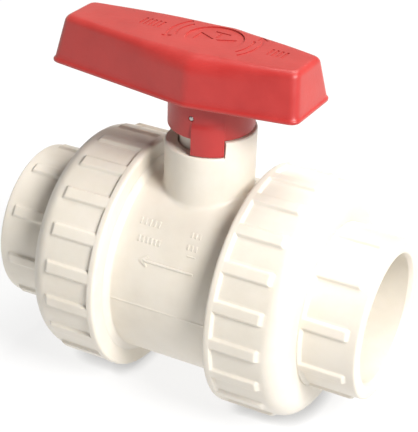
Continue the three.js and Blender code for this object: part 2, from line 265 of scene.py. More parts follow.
def shade(me, sharp):
    """Smooth shading, with edges over the angle sharp kept crisp."""
    me.polygons.foreach_set("use_smooth", [True] * len(me.polygons))
    me.set_sharp_from_angle(angle=math.radians(sharp))


def mesh_object(name, verts, faces, mat, sharp=38.0):
    """Closed mesh from points in mm about the pipe axis."""
    me = bpy.data.meshes.new(name)
    points = np.array(verts, float)
    points[:, 2] += AXIS_Z
    me.from_pydata((points * MM).tolist(), [], faces)
    me.update()
    ob = bpy.data.objects.new(name, me)
    scene.collection.objects.link(ob)
    outward(me)
    me.materials.append(mat)
    shade(me, sharp)
    return ob


def ring_faces(rows, cols, closed_rows=True, base=0):
    """Quads between rows of cols points, each row closed, and the last row joined to the first."""
    out = []
    for i in range(rows if closed_rows else rows - 1):
        p, q = base + i * cols, base + ((i + 1) % rows) * cols
        for j in range(cols):
            k = (j + 1) % cols
            out.append((p + j, p + k, q + k, q + j))
    return out


def fans(rows, cols, first_tip, last_tip):
    """Triangles that close the first and the last of a stack of rows at two tip points."""
    m = (rows - 1) * cols
    out = [((j + 1) % cols, j, first_tip) for j in range(cols)]
    return out + [(m + j, m + (j + 1) % cols, last_tip) for j in range(cols)]


def turned(name, points, mat, axis="x", cols=96):
    """Ring-shaped solid of revolution from (along, radius, corner radius)."""
    prof = rounded(points)
    along = np.repeat(prof[:, 0], cols)
    r = np.repeat(prof[:, 1], cols)
    t = np.tile(np.arange(cols) * TAU / cols, len(prof))
    if axis == "x":
        v = np.stack([along, r * np.cos(t), r * np.sin(t)], 1)
    else:
        v = np.stack([r * np.cos(t), r * np.sin(t), along], 1)
    return mesh_object(name, v, ring_faces(len(prof), cols), mat)


def plug(name, points, mat, axis="x", cols=96):
    """Solid of revolution that closes on its axis, from (along, radius)."""
    prof = np.array(points, float)
    inner = prof[1:-1]
    along = np.repeat(inner[:, 0], cols)
    r = np.repeat(inner[:, 1], cols)
    t = np.tile(np.arange(cols) * TAU / cols, len(inner))
    tips = np.array([[prof[0, 0], 0, 0], [prof[-1, 0], 0, 0]])
    v = np.concatenate([np.stack([along, r * np.cos(t), r * np.sin(t)], 1), tips])
    if axis == "z":
        v = v[:, [1, 2, 0]]
    f = ring_faces(len(inner), cols, False) + fans(len(inner), cols, len(v) - 2, len(v) - 1)
    return mesh_object(name, v, f, mat)


def box(name, x0, x1, y0, y1, z0, z1, mat, bevel=0.0):
    v = [(x, y, z) for x in (x0, x1) for y in (y0, y1) for z in (z0, z1)]
    f = [(0, 1, 3, 2), (4, 6, 7, 5), (0, 4, 5, 1), (2, 3, 7, 6), (0, 2, 6, 4), (1, 5, 7, 3)]
    ob = mesh_object(name, v, f, mat)
    if bevel:
        m = ob.modifiers.new("edge", "BEVEL")
        m.width = bevel * MM
        m.segments = 3
        m.limit_method = "NONE"
        bake(ob)
    return ob


def bake(ob):
    """Apply the modifiers of an object."""
    evaluated = ob.evaluated_get(bpy.context.evaluated_depsgraph_get())
    me = bpy.data.meshes.new_from_object(evaluated)
    old = ob.data
    ob.modifiers.clear()
    ob.data = me
    bpy.data.meshes.remove(old)


def combine(ob, operation, others, sharp):
    """Cut or join other objects, which are used up."""
    for other in others:
        m = ob.modifiers.new("cut", "BOOLEAN")
        m.operation = operation
        m.solver = "EXACT"
        m.object = other
        bake(ob)
        bpy.data.objects.remove(other, do_unlink=True)
    shade(ob.data, sharp)
    return ob


def across(ob):
    """Turn a piece made along the pipe axis to lie front to back, where the cross pin is."""
    ob.data.transform(Matrix.Translation((0, 0, -AXIS_Z * MM)))
    ob.data.transform(Matrix.Rotation(math.pi / 2, 4, "Z"))
    ob.data.transform(Matrix.Translation((0, 0, (AXIS_Z + PIN_Z) * MM)))
    return ob


def level(angles, r, z):
    """Row of points round the stem axis; r and z may vary with the angle."""
    c, s = np.cos(angles), np.sin(angles)
    return np.stack([r * c, r * s, np.broadcast_to(z, c.shape)], 1)


def at_height(outline, z):
    return np.column_stack([outline, np.full(len(outline), z)])


def finish_piece(ob, body, node):
    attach(ob, body)
    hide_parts(node)


# ------------------------------------------------------------------ threads and grip ribs
def tooth(turns):
    """Height 0..1 of a rounded trapezoid tooth, whose middle is at every whole turn."""
    away = np.abs((turns + 0.5) % 1.0 - 0.5) * PITCH
    return smooth((TOOTH_FOOT / 2 - away) / ((TOOTH_FOOT - TOOTH_CREST) / 2))


def helix(x, theta):
    """Turns along the thread at x and the angle theta."""
    return x / PITCH - theta / TAU


def rib_height(x, across_mm, half, x_end, slope, end_slope):
    """Height 0..1 of a grip rib that ends at x_end with rounded corners and a longer sloping end."""
    corner_r = 1.0
    dx = (x - x_end) / (end_slope / slope) + corner_r
    dy = np.abs(across_mm) - (half - corner_r)
    outside = np.hypot(np.maximum(dx, 0), np.maximum(dy, 0)) + np.minimum(np.maximum(dx, dy), 0)
    return smooth((corner_r - outside) / slope)


def rib_columns(count, radius, half, places, margin, gap_columns, phase):
    """Angles of the mesh columns, close together over the sides of each rib, and how far round
    each column is from the middle of its rib, in mm."""
    period = TAU / count
    rib = half / radius / period
    places = np.array(places) * rib
    gap = np.linspace(rib + margin, 1 - rib - margin, gap_columns)
    at = np.concatenate([-places[::-1], [0.0], places, gap])
    angles = np.concatenate([(k + at) * period for k in range(count)]) + math.radians(phase + 90)
    return angles, np.tile(np.where(at > 0.5, at - 1, at), count) * period * radius


def ribbed_ring(name, side, x, r, angles, sharp):
    """Ring from a radius for each profile row and column; side is -1 for the left end."""
    t = np.repeat(angles[None, :], len(x), 0)
    along = np.repeat(side * x, len(angles), 1)
    v = np.stack([along.ravel(), (r * np.cos(t)).ravel(), (r * np.sin(t)).ravel()], 1)
    return mesh_object(name, v, ring_faces(len(x), len(angles)), IVORY, sharp)


# ------------------------------------------------------------------ union nuts
def nut_profile():
    """Outside from the mouth to the back, then the bore; also the row where the bore starts."""
    shoulder_x, shoulder_long, shoulder_deep = 45.8, 7.8, 9.0
    back = shoulder_x + shoulder_long
    outside = list(rounded([(NUT_MOUTH + 0.8, 40.9, 0), (NUT_MOUTH, 40.75, 0.3), (NUT_MOUTH, NUT_RIM_R, 2.0),
                            (NUT_MOUTH + 3.0, NUT_RIM_R, 0.7), (26.7, NUT_R, 0.6), (27.6, NUT_R, 0)]))
    outside += [(x, NUT_R) for x in np.linspace(29.2, 42.2, 7)]
    outside += [(x, NUT_R) for x in np.arange(42.6, 45.9, 0.3)]
    outside += [(shoulder_x + shoulder_long * math.sin(a), NUT_R - shoulder_deep * (1 - math.cos(a)))
                for a in quarter(16)[1:]]
    outside += list(rounded([(back, 36.5, 0), (back, NUT_HOLE_R, 0.12), (47.0, NUT_HOLE_R, 0.12),
                             (47.0, NUT_BORE_R, 0)]))
    bore = [(x, NUT_BORE_R) for x in np.arange(46.2, 24.6, -0.4)]
    return np.array(outside + bore), len(outside)


def union_nut(name, side, phase, body, node):
    rib_tall = 1.22
    angles, place = rib_columns(count=20, radius=47.8, half=2.95,
                                places=[0.25, 0.5, 0.64, 0.74, 0.84, 0.93, 1.0],
                                margin=0.06, gap_columns=7, phase=phase)
    prof, bore_from = nut_profile()
    x = prof[:, 0][:, None]
    r = np.repeat(prof[:, 1][:, None], len(angles), 1)
    bore = (np.arange(len(prof)) >= bore_from)[:, None]
    ribs = NUT_R + rib_tall * rib_height(x, place[None, :], half=3.0, x_end=45.7, slope=1.15,
                                         end_slope=2.1)
    ribbed = ~bore & (x > 25.0) & (x < 45.9) & (r > 45)
    r = np.where(ribbed, np.maximum(r, ribs), r)
    ends = smooth((x - 24.4) / 1.6) * smooth((46.4 - x) / 2.0)
    thread = NUT_TOOTH_DEEP * ends * tooth(helix(side * x, angles[None, :]) + 0.5)
    r = np.where(bore, r - thread, r)
    finish_piece(ribbed_ring(name, side, x, r, angles, 50), body, node)


union_nut("union_nut_right_shell", 1, 0.0, "nut_right", "union_nut_right")
union_nut("union_nut_left_shell", -1, 5.5, "nut_left", "union_nut_left")


# ------------------------------------------------------------------ tailpieces
def tailpiece_profile():
    """From the flange inside the nut, out over the collar and the socket, and back inside."""
    face, flange_back, flange_r = 41.0, 46.6, 39.0
    collar_r = NUT_HOLE_R - 0.04
    stop = 45.2                     # where the pipe bottoms in the socket
    prof = list(rounded([(stop, PORT_R, 0), (face, PORT_R, 0.6), (face, flange_r, 0.8),
                         (flange_back, flange_r, 0.8), (flange_back, collar_r, 0.4), (54.2, collar_r, 0.3),
                         (55.3, SOCKET_R, 0.5), (56.6, SOCKET_R, 0)]))
    prof += [(x, SOCKET_R) for x in np.linspace(59.0, 69.4, 5)]
    prof += [(x, SOCKET_R) for x in np.arange(69.7, 72.8, 0.3)]
    prof += list(rounded([(73.0, SOCKET_R, 0), (SOCKET_END, SOCKET_R, 1.1), (SOCKET_END, 26.0, 0.5),
                          (SOCKET_END - 1.8, SOCKET_BORE_R, 0.6), (stop, SOCKET_BORE_R, 0)]))
    return np.array(prof)


def tailpiece(name, side, phase, body, node):
    rib_tall = 1.15
    angles, place = rib_columns(count=10, radius=SOCKET_R, half=2.6,
                                places=[0.4, 0.6, 0.72, 0.82, 0.92, 1.0],
                                margin=0.05, gap_columns=9, phase=phase)
    prof = tailpiece_profile()
    x = prof[:, 0][:, None]
    r = np.repeat(prof[:, 1][:, None], len(angles), 1)
    ribs = SOCKET_R + rib_tall * rib_height(x, place[None, :], half=2.65, x_end=72.6, slope=1.05,
                                            end_slope=1.5)
    ribbed = (r < 32.15) & (r > 30.9) & (x > 47) & (x < 73)
    r = np.where(ribbed, np.maximum(r, ribs), r)
    finish_piece(ribbed_ring(name, side, x, r, angles, 45), body, node)


tailpiece("tailpiece_right_shell", 1, 2.0, "tailpiece_right", "tailpiece_right")
tailpiece("tailpiece_left_shell", -1, 21.0, "tailpiece_left", "tailpiece_left")


# ------------------------------------------------------------------ valve body
NECK_FILLET = 1.6
SLOT_FROM, SLOT_TO = 179.5, 315.5     # quarter-turn slot in the neck, degrees round from +X
SLOT_DEEP = 6.2
PATCH_X = 20.4                        # half the patch of the barrel that is left open for the neck
PATCH_T = math.radians(41)
PATCH_STEPS = 36
SEAM_COLUMNS = 0.3 / BARREL_R * np.array([-1.1, -0.75, -0.4, 0, 0.4, 0.75, 1.1])


def body_radius(x, t):
    """Radius of the barrel and its threaded ends at x, t measured round from the top."""
    flare_from, flare_tall = 20.9, 2.7
    flare_to = NUT_MOUTH - 0.02             # it ends just short of the nut
    in_mouth_r = 40.25
    thread_from, chamfer_from = 24.1, 39.6
    line_tall, line_half, line_slope = 0.13, 0.32, 0.22     # mould line
    a = np.abs(x)
    r = BARREL_R + flare_tall * np.clip((a - flare_from) / (flare_to - flare_from), 0, 1) ** 1.5
    r = np.where(a > flare_to + 0.01, in_mouth_r, r)
    r = np.where(a > thread_from, THREAD_ROOT_R, r)
    fade = smooth((a - 24.4) / 1.4) * smooth((40.2 - a) / 1.2)
    r = np.where(a > thread_from, r + BODY_TOOTH_TALL * fade * tooth(helix(x, math.pi / 2 - t)), r)
    r = np.where(a > chamfer_from, np.minimum(r, THREAD_ROOT_R - (a - chamfer_from)), r)
    seam = np.abs(np.abs(t) - math.pi / 2) * BARREL_R
    return r + np.where(a < flare_from - 0.1, line_tall * smooth((line_half - seam) / line_slope), 0.0)


def barrel_columns():
    """Angles round the barrel from the top: the patch for the neck first, then on round the back."""
    quarter_turn, past = math.pi / 2, 0.03
    t = np.concatenate([np.linspace(-PATCH_T, PATCH_T, PATCH_STEPS + 1),
                        np.linspace(PATCH_T, quarter_turn - past, 14)[1:],
                        quarter_turn + SEAM_COLUMNS,
                        np.linspace(quarter_turn + past, 3 * quarter_turn - past, 50),
                        3 * quarter_turn + SEAM_COLUMNS,
                        np.linspace(3 * quarter_turn + past, TAU - PATCH_T, 14)[:-1]])
    return np.where(t > math.pi, t - TAU, t)


def barrel_stations():
    """Places of the rows along the barrel, and the number of the patch's first row."""
    flare = [20.8, 21.1, 21.4, 21.7, 22.0, 22.3, 22.5, 22.7, 22.8, 22.84, 22.88, 22.895, 23.4, 24.0, 24.2]
    end = np.concatenate([flare, np.arange(24.5, 39.7, 0.36), [39.8, 40.1, 40.4]])
    patch = np.linspace(-PATCH_X, PATCH_X, PATCH_STEPS + 1)
    return np.concatenate([-end[::-1], patch, end]), len(end)


def barrel_skin(stations, first, columns):
    """Points, faces and point numbers of the barrel, closed at both ends and open at the patch."""
    verts, faces, index = [], [], {}
    n = len(columns)
    for i, x in enumerate(stations):
        r = body_radius(np.full(n, x), columns)
        for j in range(n):
            if first < i < first + PATCH_STEPS and 0 < j < PATCH_STEPS:
                continue
            index[i, j] = len(verts)
            verts.append((x, -r[j] * math.sin(columns[j]), r[j] * math.cos(columns[j])))
    for i in range(len(stations) - 1):
        for j in range(n):
            k = (j + 1) % n
            if first <= i < first + PATCH_STEPS and j < PATCH_STEPS:
                continue
            faces.append((index[i, j], index[i, k], index[i + 1, k], index[i + 1, j]))
    for i in (0, len(stations) - 1):
        tip = len(verts)
        verts.append((stations[i], 0, 0))
        for j in range(n):
            ring = (index[i, (j + 1) % n], index[i, j])
            faces.append((*ring, tip) if i == 0 else (*ring[::-1], tip))
    return verts, faces, index


def patch_edge(first):
    """Row and column of each point on the edge of the patch, walked once round."""
    last, n = first + PATCH_STEPS, PATCH_STEPS
    return ([(first + k, 0) for k in range(n)] + [(last, k) for k in range(n)]
            + [(last - k, n) for k in range(n)] + [(first, n - k) for k in range(n)])


def neck_angles(x, y):
    """Even spacing round the neck that starts where the patch's edge does, with columns drawn
    together at the two ends of the slot."""
    around = np.unwrap(np.arctan2(y, x))
    sense = math.copysign(1, around[-1] - around[0])
    angles = around[0] + sense * np.arange(len(x)) * TAU / len(x)
    spread = np.radians([-1.8, -1.0, -0.45, -0.15, 0.15, 0.45, 1.0, 1.8])
    for edge in np.radians([SLOT_TO, SLOT_FROM]):
        away = wrap(angles - edge)
        near = np.argsort(np.abs(away))[:len(spread)]
        angles[near[np.argsort(away[near])]] = edge + spread
    return angles


def on_barrel(x, y):
    return np.stack([x, y, np.sqrt(np.maximum(BARREL_R ** 2 - y ** 2, 1.0))], 1)


def neck_rows(x, y):
    """Rows from the edge of the patch, up the neck, over its rim, down the well and up the boss."""
    angles = neck_angles(x, y)
    c, s = np.cos(angles), np.sin(angles)
    foot_r = NECK_R + NECK_FILLET
    share = [k / 7 for k in range(1, 7)]
    rows = [on_barrel(x * (1 - w) + foot_r * c * w, y * (1 - w) + foot_r * s * w) for w in share]
    foot = on_barrel(foot_r * c, foot_r * s)
    base = on_barrel(NECK_R * c, NECK_R * s)
    above = base + np.array([0, 0, NECK_FILLET])
    rows += [curve(foot, base, above, k / 8) for k in range(9)]
    deg = np.degrees(angles) % 360
    in_slot = smooth(np.minimum(deg - SLOT_FROM, SLOT_TO - deg) + 0.5)
    top = NECK_TOP - SLOT_DEEP * in_slot
    rim, lip, edge = 0.8, 0.4, 0.7
    rows += [level(angles, NECK_R, above[:, 2] + (top - rim - above[:, 2]) * w) for w in (0.3, 0.6, 0.85)]
    rows += [level(angles, NECK_R - rim * (1 - math.cos(a)), top - rim + rim * math.sin(a))
             for a in quarter(6)]
    rows += [level(angles, WELL_R + lip * (1 - math.sin(a)), top - lip + lip * math.cos(a))
             for a in quarter(3)]
    well = [(WELL_R, 3.2), (WELL_R, 1.0), (WELL_R - 0.06, 0.4), (WELL_R - 0.25, 0.1), (WELL_R - 0.4, 0.0),
            (BOSS_R + 0.3, 0.0), (BOSS_R + 0.1, 0.15), (BOSS_R, 0.5), (BOSS_R, 6.0)]
    rows += [level(angles, r, WELL_FLOOR + up) for r, up in well]
    boss_top = NECK_TOP - 0.5
    rows += [level(angles, BOSS_R - edge * (1 - math.cos(a)), boss_top - edge + edge * math.sin(a))
             for a in quarter(5)]
    return rows + [level(angles, r, boss_top) for r in (10.6, 9.6, 4.0)]


def hollow_body(ob):
    """Cut the bores, the way for the stem and the grooves of the face rings."""
    bore = plug("bore", [(-50, 0), (-50, PORT_R), (-24.2, PORT_R), (-24.2, 24.7), (-21.3, 24.7),
                         (-21.3, 25.8), (-13.6, 25.8), (-13.6, 28.5), (13.0, 28.5), (13.0, 29.5),
                         (27.4, 29.5), (27.4, 31.6), (50, 31.6), (50, 0)], IVORY)
    way = plug("way", [(20, 0), (20, 12.0), (33.8, 12.0), (33.8, 8.3), (70, 8.3), (70, 0)], IVORY, "z", 64)
    grooves = [turned("groove", [(side * 37.7, 33.8, 0), (side * 37.7, 37.2, 0), (side * 44, 37.2, 0),
                                 (side * 44, 33.8, 0)], IVORY) for side in (1, -1)]
    return combine(ob, "DIFFERENCE", [bore, way, *grooves], 45)


def valve_body():
    columns = barrel_columns()
    stations, first = barrel_stations()
    verts, faces, index = barrel_skin(stations, first, columns)
    edge = patch_edge(first)
    x = np.array([stations[i] for i, _ in edge])
    y = np.array([-math.sin(columns[j]) * BARREL_R for _, j in edge])
    n = len(edge)
    below = [index[place] for place in edge]
    for row in neck_rows(x, y):
        here = list(range(len(verts), len(verts) + n))
        verts += [tuple(p) for p in row]
        faces += [(below[(j + 1) % n], below[j], here[j], here[(j + 1) % n]) for j in range(n)]
        below = here
    tip = len(verts)
    verts.append((0, 0, verts[-1][2]))
    faces += [(below[(j + 1) % n], below[j], tip) for j in range(n)]
    ob = hollow_body(mesh_object("valve_body_shell", verts, faces, IVORY, 50))
    finish_piece(ob, "housing", "valve_body")


valve_body()


# ------------------------------------------------------------------ raised marks on the barrel
def raised(shapes, bearing, height):
    """Flat outlines wrapped on the front of the barrel and raised a little."""
    verts, faces = [], []
    for shape in shapes:
        pts = []
        for a, b in zip(np.array(shape), np.roll(shape, -1, axis=0)):
            steps = max(1, int(np.linalg.norm(b - a) / 1.2))
            pts += [a + (b - a) * k / steps for k in range(steps)]
        pts = np.array(pts)
        n, base = len(pts), len(verts)
        side = np.sign(pts[:, 1] - pts[:, 1].mean())
        for inset, up in ((0.0, -0.5), (0.0, height * 0.55), (0.1, height)):
            t = math.radians(bearing) - (pts[:, 1] - side * inset) / BARREL_R
            r = BARREL_R + up
            verts += list(zip(pts[:, 0], -r * np.sin(t), r * np.cos(t)))
        faces += ring_faces(3, n, False, base)
        faces.append(tuple(range(base, base + n))[::-1])
        faces.append(tuple(range(base + 2 * n, base + 3 * n)))
    return verts, faces


def bar(x, y, wide, high):
    """Rectangle from its upper left corner."""
    return [(x + wide, y), (x + wide, y - high), (x, y - high), (x, y)]


def body_mark(name, shapes, bearing, height):
    ob = mesh_object(name, *raised(shapes, bearing, height), IVORY, 60)
    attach(ob, "housing")


def body_marks():
    """Thin arrow along the flow, with plain size ticks above it."""
    half_arrow = [(11.8, 0.45), (-8.4, 0.45), (-7.0, 1.75), (-7.5, 2.15), (-10.8, 0.0)]
    arrow = half_arrow + [(x, -y) for x, y in half_arrow[-2::-1]]
    body_mark("flow_arrow_mark", [arrow], 63, 0.32)
    ticks = [bar(-15.0 + 1.9 * k, 5.6, 0.7, 2.6) for k in range(5)]
    ticks += [bar(-13.4 + 1.7 * k, -1.2, 0.7, 2.4) for k in range(6)]
    for k in range(3):
        ticks += [bar(6.4 + 1.7 * k, 5.2, 0.7, 2.2), bar(6.6 + 1.7 * k, 0.4, 0.7, 2.2)]
    ticks.append(bar(7.6, -3.6, 3.4, 0.6))
    body_mark("size_ticks_mark", ticks, 48, 0.2)


body_marks()


# ------------------------------------------------------------------ inside parts
def ball():
    profile = [(BALL_R * math.cos(a), BALL_R * math.sin(a)) for a in np.linspace(0, math.pi, 64)]
    ob = plug("ball_shell", profile, CORE, "z", 128)
    half_bore = [(40, 24), (19.9, 19.6), (19.2, 19.0)]
    bore = plug("bore", [(-40, 0), *[(-x, r) for x, r in half_bore], *half_bore[::-1], (40, 0)], CORE)
    key_slot = box("key_slot", -4.3, 4.3, -40, 40, 22.5, 40, CORE)
    combine(ob, "DIFFERENCE", [bore, key_slot], 35)
    finish_piece(ob, "ball", "ball")


def stem():
    """Key, collar, two ring grooves and the square top, with a hole for the cross pin."""
    groove_r = 6.05
    ob = plug("stem_shell", [(28.0, 0), (28.0, 11.2), (28.5, 11.6), (31.6, 11.6), (32.0, 11.2),
                             (32.0, STEM_R), (36.6, STEM_R), (36.6, groove_r), (39.4, groove_r),
                             (39.4, STEM_R), (42.0, STEM_R), (42.0, groove_r), (44.8, groove_r),
                             (44.8, STEM_R), (56.5, STEM_R), (56.9, STEM_R - 0.4), (56.9, 0)],
              IVORY, "z", 72)
    key = box("key", -4.0, 4.0, -9.5, 9.5, 22.8, 29.0, IVORY, 0.5)
    square = box("square", -5.5, 5.5, -5.5, 5.5, 56.0, 72.5, IVORY, 0.6)
    combine(ob, "UNION", [key, square], 35)
    hole = across(plug("hole", [(-10, 0), (-10, 1.4), (-2.2, 1.4), (-2.2, 0)], IVORY, "x", 24))
    combine(ob, "DIFFERENCE", [hole], 35)
    finish_piece(ob, "stem_and_handle", "stem")


def thrust_washer():
    ob = turned("thrust_washer_shell", [(32.3, 8.4, 0.15), (32.3, 11.4, 0.15), (33.5, 11.4, 0.15),
                                        (33.5, 8.4, 0.15)], PTFE, "z", 64)
    finish_piece(ob, "stem_and_handle", "thrust_washer")


def o_ring(node, radius, section, along, axis, body):
    pts = [(along + section * math.sin(a), radius + section * math.cos(a), 0)
           for a in np.linspace(0, TAU, 20, endpoint=False)]
    finish_piece(turned(node + "_cord", pts, RUBBER, axis), body, node)


def seat(node, side):
    """Ring with a hollow face that follows the ball at a small distance."""
    face_r = BALL_R + 0.3
    pts = [(side * 21.0, PORT_R, 0.3), (side * 21.0, 25.5, 0.3), (side * 14.0, 25.5, 0.3)]
    pts += [(side * math.sqrt(face_r ** 2 - r * r), r, 0) for r in (24.0, 23.0, 22.0, 21.0, 20.0, PORT_R)]
    finish_piece(turned(node + "_ring", pts, PTFE), "housing", node)


def seat_carrier():
    """Threaded ring behind the right seat, with two notches for a tool."""
    outer_r, groove_r, head_r = 29.1, 26.9, 31.2
    ob = turned("seat_carrier_ring", [
        (24.2, PORT_R, 0.3), (24.2, 24.7, 0), (21.3, 24.7, 0), (21.3, 25.8, 0), (13.6, 25.8, 0.2),
        (13.6, outer_r, 0.4), (22.8, outer_r, 0.1), (22.8, groove_r, 0), (25.6, groove_r, 0),
        (25.6, outer_r, 0.1), (27.8, outer_r, 0), (27.8, head_r, 0.4), (40.4, head_r, 0.4),
        (40.4, PORT_R, 0.4)], IVORY)
    notches = [box("notch", 35.6, 44, -3.2, 3.2, z0, z1, IVORY, 0.4)
               for z0, z1 in ((23.5, 29.6), (-29.6, -23.5))]
    combine(ob, "DIFFERENCE", notches, 35)
    finish_piece(ob, "housing", "seat_carrier")


ball()
stem()
thrust_washer()
o_ring("stem_o_ring_lower", 7.1, 0.95, 38.0, "z", "stem_and_handle")
o_ring("stem_o_ring_upper", 7.1, 0.95, 43.4, "z", "stem_and_handle")
o_ring("seat_o_ring_left", 23.05, 1.2, -22.7, "x", "housing")
o_ring("seat_o_ring_right", 23.05, 1.2, 22.7, "x", "housing")
o_ring("carrier_o_ring", 28.2, 1.0, 24.2, "x", "housing")
o_ring("face_o_ring_left", 35.5, 1.35, -39.35, "x", "housing")
o_ring("face_o_ring_right", 35.5, 1.35, 39.35, "x", "housing")
seat("seat_left", -1)
seat("seat_right", 1)
seat_carrier()


# ------------------------------------------------------------------ T handle
GRIP_YAW = -2.1                       # play that leaves the grip a little off the line of the pipe
GRIP_FOOT_Z = 76.5                    # lower edge of the grip
# reach to the left and to the right, half width over the stem, half width at the ends
GRIP_FOOT = np.array([62.3, 41.1, 22.0, 13.8])
GRIP_HEAD = np.array([59.1, 38.5, 19.6, 9.6])
GRIP_STEP = 0.22                      # the sides stand this far behind the lip round the foot
GRIP_WALL = 3.0
ROOF_Z = GRIP_TOP - 2.8               # underside of the grip's roof
CROWN_R = 6.0                         # rounding of the grip's upper edge over the stem
EDGE_R = 2.2                          # and at its ends
TAB_FROM, TAB_TO = 270.5, 314.5       # stop tab under the hub, degrees round from +X
RECESS_MIDDLE = (-1.3, 2.6)           # round recess on the grip
RECESS_R = 10.9
RECESS_DEEP, MARK_DEEP, TIP_DEEP = 0.6, 0.36, 0.38


def grip_outline(left, right, wide, end, corner_r, bend_r):
    """Long hexagon with its widest place over the stem, corners rounded, in even columns."""
    pts = np.array([[right, -end], [right, end], [0, wide], [-left, end], [-left, -end], [0, -wide]])
    radii = [corner_r, corner_r, bend_r] * 2
    out = []
    for i in range(6):
        following = (i + 1) % 6
        p, q, s = pts[i - 1], pts[i], pts[following]
        a, b, *_, tangent = corner(p, q, s)
        cut = radii[i] / tangent
        out += [curve(q + a * cut, q, q + b * cut, k / 8) for k in range(9)]
        # a wide bend takes up much less of the run than its radius
        near = radii[following] * (0.2 if following in (2, 5) else 1.0)
        leave, arrive = q + b * cut, s - b * near
        out += [leave + (arrive - leave) * k / 8 for k in range(1, 8)]
    return np.array(out)


def grip_row(share, inset, z, drop=0.0):
    """Row round the grip; share runs from 0 at its foot to 1 at its top, and drop pulls in the
    sides over the stem more than at the ends."""
    left, right, wide, end = GRIP_FOOT + (GRIP_HEAD - GRIP_FOOT) * share - inset
    corner_r, bend_r, drop_reach = max(4.2 - inset, 0.8), 10.0, 19.0
    q = grip_outline(left, right, wide, end, corner_r, bend_r)
    q[:, 1] -= np.sign(q[:, 1]) * drop * np.exp(-(q[:, 0] / drop_reach) ** 2)
    return at_height(q, z)


def grip_outside(tall):
    """Rows from the lip at the foot to the edge of the top face."""
    lip = [(0.0, 0.8, 0.0), (0.0, 0.3, 0.05), (0.0, 0.06, 0.3), (0.0, 0.0, 0.6), (0.0, 0.0, 1.1),
           (0.02, 0.06, 1.35), (0.04, GRIP_STEP, 1.55)]
    rows = [grip_row(share, inset, GRIP_FOOT_Z + up) for share, inset, up in lip]
    rows += [grip_row(w, GRIP_STEP, GRIP_FOOT_Z + tall * w) for w in np.linspace(0.12, 0.62, 6)]
    for a in quarter(14):
        z = GRIP_TOP - CROWN_R + CROWN_R * math.sin(a)
        up = max(0.0, (z - (GRIP_TOP - EDGE_R)) / EDGE_R)
        pulled = EDGE_R * (1 - math.sqrt(max(0.0, 1 - up * up)))
        rows.append(grip_row((z - GRIP_FOOT_Z) / tall, GRIP_STEP + pulled * 0.95, z,
                             CROWN_R * (1 - math.cos(a)) - pulled))
    return rows


def grip_top_face(edge):
    """Rows that change from the outline of the top face to a circle round the stem."""
    own = np.unwrap(np.arctan2(edge[:, 1], edge[:, 0]))
    even = math.atan2(edge[0, 1], edge[0, 0]) + np.arange(len(edge)) * TAU / len(edge)
    own += round((even[0] - own[0]) / TAU) * TAU
    # part of the way to an even spacing, so that the columns don't cross
    angles = own * 0.35 + even * 0.65
    ring = np.stack([np.cos(angles), np.sin(angles)], 1)
    rows = [at_height(edge[:, :2] * (1 - w) + ring * 12.1 * w, GRIP_TOP) for w in (0.25, 0.5, 0.75, 0.93)]
    return rows + [at_height(ring * 5.0, GRIP_TOP)]


def grip_inside(tall):
    """Rows of the hollow, from the foot up to the middle of the roof's underside."""
    rows = [grip_row(w, wall, GRIP_FOOT_Z + tall * w)
            for w, wall in ((0.0, 2.6), (0.02, GRIP_WALL), (0.3, GRIP_WALL), (0.6, GRIP_WALL))]
    fillet = 1.5
    for a in quarter(5):
        z = ROOF_Z - fillet + fillet * math.sin(a)
        rows.append(grip_row((z - GRIP_FOOT_Z) / tall, GRIP_WALL + fillet * (1 - math.cos(a)), z, 1.2))
    last = rows[-1][:, :2]
    return rows + [at_height(last * (1 - w), ROOF_Z) for w in (0.4, 0.8)]


def grip_shell():
    """One closed skin: roof underside, inner rows downwards, foot, outer rows upwards, top face."""
    tall = GRIP_TOP - GRIP_FOOT_Z
    outer = grip_outside(tall)
    chain = grip_inside(tall)[::-1] + outer + grip_top_face(outer[-1])
    n = len(outer[0])
    v = np.concatenate(chain + [np.array([[0, 0, ROOF_Z], [0, 0, GRIP_TOP]])])
    f = ring_faces(len(chain), n, False) + fans(len(chain), n, len(v) - 2, len(v) - 1)
    return mesh_object("handle_shell", v, f, RED, 40)


def wedge(name, x0, x1, low, high, z0, z1):
    """Web across the grip, half-width low at its foot and high under the roof."""
    v = [(x, y, z) for x in (x0, x1) for y, z in ((-low, z0), (low, z0), (high, z1), (-high, z1))]
    f = [(0, 1, 2, 3), (7, 6, 5, 4), (0, 4, 5, 1), (1, 5, 6, 2), (2, 6, 7, 3), (3, 7, 4, 0)]
    return mesh_object(name, v, f, RED)


def grip_webs():
    top = ROOF_Z + 0.4
    return [box("long_web", -58.2, 36.2, -1.1, 1.1, 78.5, top, RED),
            wedge("end_web", -31.1, -28.9, 15.0, 11.6, 80.0, top),
            wedge("middle_web", -1.1, 1.1, 18.8, 14.0, 78.5, top)]


def prism(points, z0, z1):
    """Points and faces of an upright prism over a counter-clockwise outline."""
    n = len(points)
    v = [(x, y, z0) for x, y in points] + [(x, y, z1) for x, y in points]
    f = [tuple(range(n - 1, -1, -1)), tuple(range(n, 2 * n))]
    f += [(k, (k + 1) % n, n + (k + 1) % n, n + k) for k in range(n)]
    return v, f


def arc(r, angles):
    return [(r * math.cos(a), r * math.sin(a)) for a in angles]


def band(r0, r1, from_deg, to_deg):
    """Flat curved band, counter-clockwise outline."""
    angles = np.radians(np.linspace(from_deg, to_deg, 28))
    return arc(r1, angles) + arc(r0, angles[::-1])


def arrow_tip(r, deg):
    """Triangle across the end of a curved arrow that points counter-clockwise."""
    half, along = 2.1, 12.0
    a = math.radians(deg)
    return arc(r - half, [a]) + arc(r + half, [a]) + arc(r, [math.radians(deg + along)])


def upright_bar(x, low, high):
    return [(x, low), (x + 1.0, low), (x + 1.0, high), (x, high)]


